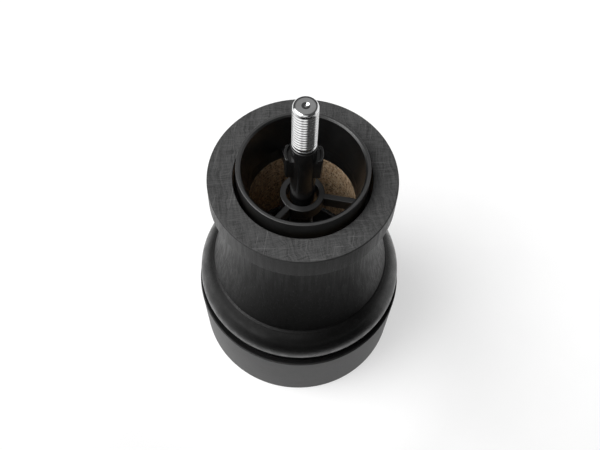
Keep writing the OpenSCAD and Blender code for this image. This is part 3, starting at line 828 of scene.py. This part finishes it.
def buildShaft(finishes):
    low, high = span("drive_shaft")
    foot, tip = low[2], high[2]
    radius = shaft["threadRadius"]
    threadFoot = tip - shaft["threadHeight"]
    plain = threadFoot + 0.9
    stretch = tip - shaft["tipEase"] - 0.3 - plain
    rows = int(stretch / shaft["rowHeight"])
    collarFoot = threadFoot - shaft["collarHeight"]
    neckR = radius - shaft["relief"]
    outline = [(0, collarFoot)]
    outline += rounded([(1.5, collarFoot), (radius, collarFoot, 0.3), (radius, threadFoot, 0.45),
                        (neckR, threadFoot + 0.25, 0.1), (neckR, plain - 0.2, 0.1), (radius, plain, 0.05),
                        (radius, plain + 0.1)], 3, 0.03)[1:-1]
    outline += [(radius, plain + stretch * step / rows) for step in range(1, rows + 1)]
    outline += arc((radius - 1.1, tip - 1.05), 1.1, 12, 62, 6)
    dimpleFoot = tip - shaft["dimpleDepth"]
    outline += rounded([(radius - 0.6, tip - 0.1), (radius - 1.2, tip - 0.01, 0.3),
                        (shaft["dimpleRadius"], tip - 0.02, 0.12), (0.35, dimpleFoot, 0.1),
                        (0, dimpleFoot)], 4, 0.03)[1:]
    piece = turned("driveShaft", outline, 96, 48)
    applyTree(piece, trees["relief"], {
        "Count": -1.0, "Twist": 1.0 / shaft["pitch"], "Depth": shaft["threadDepth"], "Flat": 0.25,
        "Low": plain, "High": tip - shaft["tipEase"] + 0.1, "Run Out": 0.8,
        "Inner": radius - 0.3, "Outer": radius + 0.5, "Finish": finishes["bright"]}, 48)
    half = shaft["bar"] / 2
    barFoot = shaft["barFoot"]
    bar = block("bar", (-half, -half, barFoot), (half, half, collarFoot + 0.01))
    softEdges(bar, 0.12, 30, 2)
    journalR, grooveR = shaft["journal"], shaft["grooveRadius"]
    journal = turned("journal", rounded([
        (0, foot + 0.3), (0.4, foot + 0.3), (journalR, foot, 0.25), (journalR, barFoot - 1.0),
        (grooveR, barFoot - 0.95), (grooveR, barFoot - 0.1), (journalR, barFoot - 0.05),
        (journalR, barFoot + 0.5), (0, barFoot + 0.5)], 3), 48)
    ballLow, ballHigh = span("thrust_ball")
    ballZ = (ballLow[2] + ballHigh[2]) / 2
    ballR = (ballHigh[2] - ballLow[2]) / 2 + 0.05
    outline = [(0, ballZ - ballR)] + arc((0, ballZ), ballR, -80, 80, 20) + [(0, ballZ + ballR)]
    cup = turned("cup", outline, 48)
    combine(journal, [cup], "DIFFERENCE")
    combine(bar, [journal])
    combine(piece, [bar])
    handOver(piece, "drive", "bright_steel", ["drive_shaft"], finishes["bright"])


sleeve = {
    "outer": 4.2, "bar": 5.1, "finOuter": 6.3, "finInner": 5.3, "finHalf": 3.0, "web": 5.6, "webInner": 2.8,
    "finDrop": 4.6, "finHeight": 10.0, "finSink": 1.2, "ease": 0.32,
}


def buildSleeve(finishes):
    low, high = span("drive_sleeve")
    foot, top = low[2], high[2]
    finTop = top - sleeve["finDrop"]
    piece = turned("driveSleeve", rounded([
        (1.0, foot), (sleeve["outer"], foot, 0.2), (sleeve["outer"], top, 0.3), (1.0, top)], 4), 96, 40)

    def reach(radius):
        return math.degrees(math.asin(sleeve["finHalf"] / radius))

    wide, narrow = reach(sleeve["finInner"]), reach(sleeve["finOuter"])
    outline = arc((0, 0), sleeve["finOuter"], -narrow, narrow, 14)
    outline += arc((0, 0), sleeve["finInner"], wide, -wide, 14)
    fin = prism("fin", outline, finTop - sleeve["finHeight"], finTop)
    softEdges(fin, sleeve["ease"], 35, 3)
    outline = arc((0, 0), sleeve["web"], -reach(sleeve["web"]), reach(sleeve["web"]), 12)
    side = sleeve["finHalf"] - 0.02
    outline += [(sleeve["webInner"], side), (sleeve["webInner"], -side)]
    combine(fin, [prism("web", outline, finTop - sleeve["finHeight"] + 0.02, finTop - sleeve["finSink"])])
    applyTree(fin, trees["round"], {"Count": 2}, 40)
    combine(piece, [fin])
    half = sleeve["bar"] / 2
    combine(piece, [block("bore", (-half, -half, foot - 1), (half, half, top + 1))], "DIFFERENCE")
    handOver(piece, "drive", "sleeve_plastic", ["drive_sleeve"], finishes["sleeve"])
    clip = copyOfNode("sleeveClip", "sleeve_clip", 0.12)
    handOver(clip, "drive", "spring_steel", ["sleeve_clip"], finishes["spring"])


# the adjusting ring

grip = {
    "top": 38.8, "foot": 37.9, "bore": 35.2, "mouth": 36.6, "webFoot": 19.4, "webTop": 23.0, "webInner": 27.1,
    "ease": 0.7, "slopeWidth": 1.6, "slopeDrop": 1.8,
    "notches": 24, "notchDepth": 0.5, "notchHeight": 3.4,
    "pinPlace": 31.0, "pinGap": 1.5, "swing": 150.0, "pinTurn": 90.0,
    "spare": 3.323,                                # degrees beyond each end of the swing
}


def buildGripRing(finishes):
    low, high = span("adjusting_ring")
    top = high[2]
    outline = rounded([
        (grip["bore"], 0, 0.3), (grip["foot"], 0, grip["ease"]), (grip["top"], top, grip["ease"]),
        (grip["mouth"] + grip["slopeWidth"], top, 0.3), (grip["mouth"], top - grip["slopeDrop"], 0.3),
        (grip["mouth"], grip["webTop"] + grip["notchHeight"] + 0.2), (grip["mouth"], grip["webTop"] + 0.02),
        (grip["webInner"], grip["webTop"], 0.2), (grip["webInner"], grip["webFoot"], 0.2),
        (grip["bore"], grip["webFoot"], 0.25)], 6)
    piece = turned("gripRing", outline, 480, 40)
    applyTree(piece, trees["relief"], {
        "Count": float(grip["notches"]), "Depth": grip["notchDepth"], "Flat": 0.76,
        "Low": grip["webTop"], "High": grip["webTop"] + grip["notchHeight"] + 0.3, "Run Out": 0.05,
        "Inner": grip["mouth"] - 0.3, "Outer": grip["mouth"] + 0.2, "Outwards": 1.0,
        "Finish": finishes["ring"]}, 40)
    start = grip["pinTurn"] - grip["swing"] - grip["spare"]
    end = grip["pinTurn"] + grip["spare"]
    slot = arc((0, 0), grip["pinPlace"] + grip["pinGap"], start, end, 60)
    slot += arc((0, 0), grip["pinPlace"] - grip["pinGap"], end, start, 60)
    combine(piece, [prism("slot", slot, grip["webFoot"] - 1, grip["webTop"] + 1)], "DIFFERENCE")
    handOver(piece, "ring", "ring_plastic", ["adjusting_ring"], finishes["ring"])


# burrs

burrs = {
    "foot": 24.0, "throat": 33.92, "outer": 20.0, "statorTop": 40.0, "statorFoot": 16.8, "statorThroat": 12.9,
    "statorMouth": 16.85, "rotorFoot": 16.0, "rotorThroat": 12.1, "rotorStep": 10.9, "rotorNeck": 6.54,
    "rotorTop": 42.0, "rotorWeb": 12.2, "bar": 5.1,
}
teeth = {
    "statorFine": {"Count": 20.0, "Twist": -0.20, "Depth": 0.8, "Lean": 0.82, "Flat": 0.1, "Run Out": 0.4},
    "statorCoarse": {"Count": 10.0, "Twist": -0.17, "Depth": 1.1, "Lean": 0.82, "Flat": 0.2, "Run Out": 0.8},
    "rotorFine": {"Count": 18.0, "Twist": 0.22, "Depth": 0.85, "Lean": 0.82, "Flat": 0.1, "Run Out": 0.4},
    "rotorCrack": {"Count": 5.0, "Twist": 0.10, "Depth": 2.4, "Lean": 0.85, "Flat": 0.25, "Run Out": 1.6},
}


def buildBurrs(finishes):
    def slope(start, end, steps):
        return [(start[0] + (end[0] - start[0]) * step / steps,
                 start[1] + (end[1] - start[1]) * step / steps)
                for step in range(steps + 1)]

    inner = slope((burrs["statorMouth"], burrs["statorTop"]), (burrs["statorThroat"], burrs["throat"]), 16)
    inner += slope((burrs["statorThroat"], burrs["throat"]), (burrs["statorFoot"], burrs["foot"]), 22)[1:]
    rim = rounded([(burrs["statorFoot"] + 0.3, burrs["foot"]), (burrs["outer"], burrs["foot"], 0.3),
                   (burrs["outer"], burrs["statorTop"], 0.3),
                   (burrs["statorMouth"] + 0.3, burrs["statorTop"])], 4)
    stator = turned("outerBurr", inner + rim, 480, 30)
    edge = {"Outer": burrs["outer"] - 0.8, "Outwards": 1.0, "Finish": finishes["burr"]}
    applyTree(stator, trees["relief"], {
        **teeth["statorFine"], **edge, "Low": burrs["foot"] - 0.4, "High": burrs["throat"] + 0.6}, 0)
    applyTree(stator, trees["relief"], {
        **teeth["statorCoarse"], **edge,
        "Low": burrs["throat"] - 0.3, "High": burrs["statorTop"] + 0.5}, 28)
    handOver(stator, "root", "burr_steel", ["fixed_burr"], finishes["burr"])
    waist = (burrs["rotorThroat"], burrs["throat"])
    step = (burrs["rotorStep"], burrs["throat"] + 1.4)
    outer = slope((burrs["rotorFoot"], burrs["foot"] + 0.01), waist, 22)
    outer += slope(waist, step, 3)[1:] + slope(step, (burrs["rotorNeck"], burrs["rotorTop"]), 16)[1:]
    web = burrs["rotorWeb"]
    outline = [(0, burrs["foot"]), (web, burrs["foot"]), (12.4, burrs["foot"] + 0.01)] + outer
    outline += [(burrs["rotorNeck"] - 0.3, burrs["rotorTop"]), (0, burrs["rotorTop"])]
    rotor = turned("innerBurr", outline, 432, 30)
    edge = {"Outer": 30.0, "Finish": finishes["burr"]}
    applyTree(rotor, trees["relief"], {
        **teeth["rotorFine"], **edge, "Inner": 12.0,
        "Low": burrs["foot"] - 0.4, "High": burrs["throat"] + 1.1}, 0)
    applyTree(rotor, trees["relief"], {
        **teeth["rotorCrack"], **edge, "Inner": 5.0,
        "Low": burrs["throat"] + 1.0, "High": burrs["rotorTop"] - 0.1}, 28)
    half = burrs["bar"] / 2
    bore = block("bore", (-half, -half, burrs["foot"] - 1), (half, half, burrs["rotorTop"] + 1))
    combine(rotor, [bore], "DIFFERENCE")
    handOver(rotor, "drive", "burr_steel", ["turning_burr"], finishes["burr"])


# screws, balls, springs and small parts

screws = {
    "bodyScrews": {"node": "body_screws", "place": 30.0, "first": 60, "head": 2.9, "shank": 1.5,
                   "pitch": 0.9, "cross": 1.7, "sunk": True},
    "retainerScrews": {"node": "retainer_screws", "place": 22.025, "first": 0, "head": 1.7, "shank": 0.9,
                       "pitch": 0.55, "cross": 1.1, "sunk": False},
}


def buildScrew(name, finishes):
    # a cross-head screw that is driven from below, set three times around the axis
    size = screws[name]
    low, high = span(size["node"])
    bottom, top = low[2], high[2]
    head, shank, pitch, cross = size["head"], size["shank"], size["pitch"], size["cross"]
    headTop = bottom + (head - shank if size["sunk"] else 1.1)
    if size["sunk"]:
        corners = [(0, bottom), (head - 0.15, bottom), (head, bottom + 0.08), (shank, headTop)]
    else:
        corners = [(0, bottom), (0.6, bottom), (head - 0.5, bottom, 0.3), (head, bottom + 0.55, 0.2),
                   (head, headTop, 0.08), (shank, headTop)]
    outline = rounded(corners, 4, 0.02)
    length = top - headTop - 1.4
    rows = int(length / (pitch / 8))
    outline += [(shank, headTop + 0.02 + length * step / rows) for step in range(1, rows + 1)]
    outline += [(shank * 0.7, top - 0.7), (0.12, top), (0, top)]
    piece = turned(name, outline, 32, 40)
    applyTree(piece, trees["relief"], {
        "Count": -1.0, "Twist": 1.0 / pitch, "Depth": shank * 0.24,
        "Low": headTop + 0.4, "High": top, "Run Out": 0.6, "Inner": shank * 0.5, "Outer": shank + 0.05,
        "Finish": finishes["bright"]}, 40)
    for across, along in ((cross, 0.3), (0.3, cross)):
        slot = block("cross", (-across, -along, bottom - 1), (across, along, bottom + cross * 0.62))
        combine(piece, [slot], "DIFFERENCE")
    applyTree(piece, trees["round"], {
        "Count": 3, "Radius": size["place"] * mm, "First": math.radians(size["first"]),
        "Finish": finishes["bright"]}, 40)
    handOver(piece, "root", "bright_steel", [size["node"]], finishes["bright"])


def buildBall(name, node, body, finishes):
    low, high = span(node)
    centre = [(a + b) / 2 for a, b in zip(low, high)]
    radius = (high[2] - low[2]) / 2
    shape = bmesh.new()
    bmesh.ops.create_icosphere(shape, subdivisions=4, radius=radius * mm)
    bmesh.ops.translate(shape, verts=shape.verts, vec=Vector(centre) * mm)
    handOver(fromShape(name, shape, 60), body, "bright_steel", [node], finishes["bright"])


def buildWasher(name, node, body, slot, inner, ease, finish):
    low, high = span(node)
    outer = high[0]
    outline = rounded([(inner, low[2], ease), (outer, low[2], ease),
                       (outer, high[2], ease), (inner, high[2], ease)], 4)
    handOver(turned(name, outline, 160, 40), body, slot, [node], finish)


springs = {
    "grindWire": 0.5, "grindTurns": 4.0,
    "clickWire": 0.16, "clickTurns": 6.0, "clickPlace": 30,        # degrees, behind the click ball
}


def windSpring(name, wire, mean, low, high, turns, steps, finish):
    return applyTree(linkMesh(name, bpy.data.meshes.new(name)), trees["coil"], {
        "Mean Radius": mean * mm, "Wire Radius": wire * mm, "Low": low * mm, "High": high * mm,
        "Turns": turns, "Steps": steps, "Finish": finish}, 60)


def buildSprings(finishes):
    low, high = span("grind_spring")
    wire = springs["grindWire"]
    seed = windSpring("grindSpring", wire, high[0] - wire, low[2], high[2], springs["grindTurns"], 44,
                      finishes["spring"])
    handOver(seed, "root", "spring_steel", ["grind_spring"], finishes["spring"])
    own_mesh(seed)
    low, high = span("click_spring")
    wire = springs["clickWire"]
    turn = math.radians(springs["clickPlace"])
    radius = (high[2] - low[2]) / 2 - wire
    start = (low[0] + (radius + wire) * math.sin(turn)) / math.cos(turn)
    end = (high[0] - (radius + wire) * math.sin(turn)) / math.cos(turn)
    seed = windSpring("clickSpring", wire, radius, start, end, springs["clickTurns"], 20, finishes["spring"])
    lift = Matrix.Translation((0, 0, (low[2] + high[2]) / 2 * mm))
    seed.data.transform(lift @ Matrix.Rotation(turn, 4, "Z") @ Matrix.Rotation(math.radians(90), 4, "Y"))
    handOver(seed, "root", "spring_steel", ["click_spring"], finishes["spring"])


small = {"washerBore": 3.64, "frictionBore": 27.1, "pinRadius": 1.2, "pinEase": 0.25}


def buildSmallParts(finishes):
    for name in screws:
        buildScrew(name, finishes)
    buildBall("thrustBall", "thrust_ball", "carrier", finishes)
    buildBall("clickBall", "click_ball", "root", finishes)
    buildWasher("springWasher", "spring_washer", "drive", "bright_steel",
                small["washerBore"], 0.15, finishes["bright"])
    buildWasher("frictionRing", "friction_ring", "root", "fibre",
                small["frictionBore"], 0.1, finishes["fibre"])
    low, high = span("stop_pin")
    centre = Vector(((low[0] + high[0]) / 2, (low[1] + high[1]) / 2, 0)) * mm
    radius, ease = small["pinRadius"], small["pinEase"]
    pin = turned("stopPin", rounded([(0, low[2]), (radius, low[2], ease), (radius, high[2], ease),
                                     (0, high[2])], 4), 48, 40)
    pin.data.transform(Matrix.Translation(centre))
    handOver(pin, "root", "bright_steel", ["stop_pin"], finishes["bright"])
    cup = copyOfNode("bearingCup", "bearing_cup", 0.12)
    handOver(cup, "carrier", "brass", ["bearing_cup"], finishes["brass"])
    for name, node, body, slot, width, finish in (
            ("burrClip", "burr_clip", "drive", "spring_steel", 0.12, "spring"),
            ("ringClip", "ring_clip", "root", "spring_steel", 0.15, "spring"),
            ("burrRetainer", "burr_retainer", "root", "plate_steel", 0.18, "plate"),
            ("springBridge", "spring_bridge", "root", "plate_steel", 0.18, "plate"),
            ("guideBush", "guide_bush", "root", "pale_plastic", 0.15, "pale"),
            ("burrHousing", "burr_housing", "root", "housing_plastic", 0.22, "housing"),
            ("bearingCarrier", "bearing_carrier", "carrier", "housing_plastic", 0.35, "housing")):
        handOver(copyOfNode(name, node, width), body, slot, [node], finishes[finish])


# build

buildCamera()
buildFloor()
buildPaintedShadeCard()
buildStudio()
finishes = buildFinishes()
print("finishes:", len(finishes))
trees = {"relief": reliefTree(), "round": roundTree(), "coil": coilTree()}
buildWoodBody(finishes)
print("wooden body done")
buildNeckLiner(finishes)
print("neck liner done")
buildShaft(finishes)
buildSleeve(finishes)
print("shaft and sleeve done")
buildGripRing(finishes)
print("adjusting ring done")
buildBurrs(finishes)
print("burrs done")
buildSprings(finishes)
buildSmallParts(finishes)
print("small parts done")
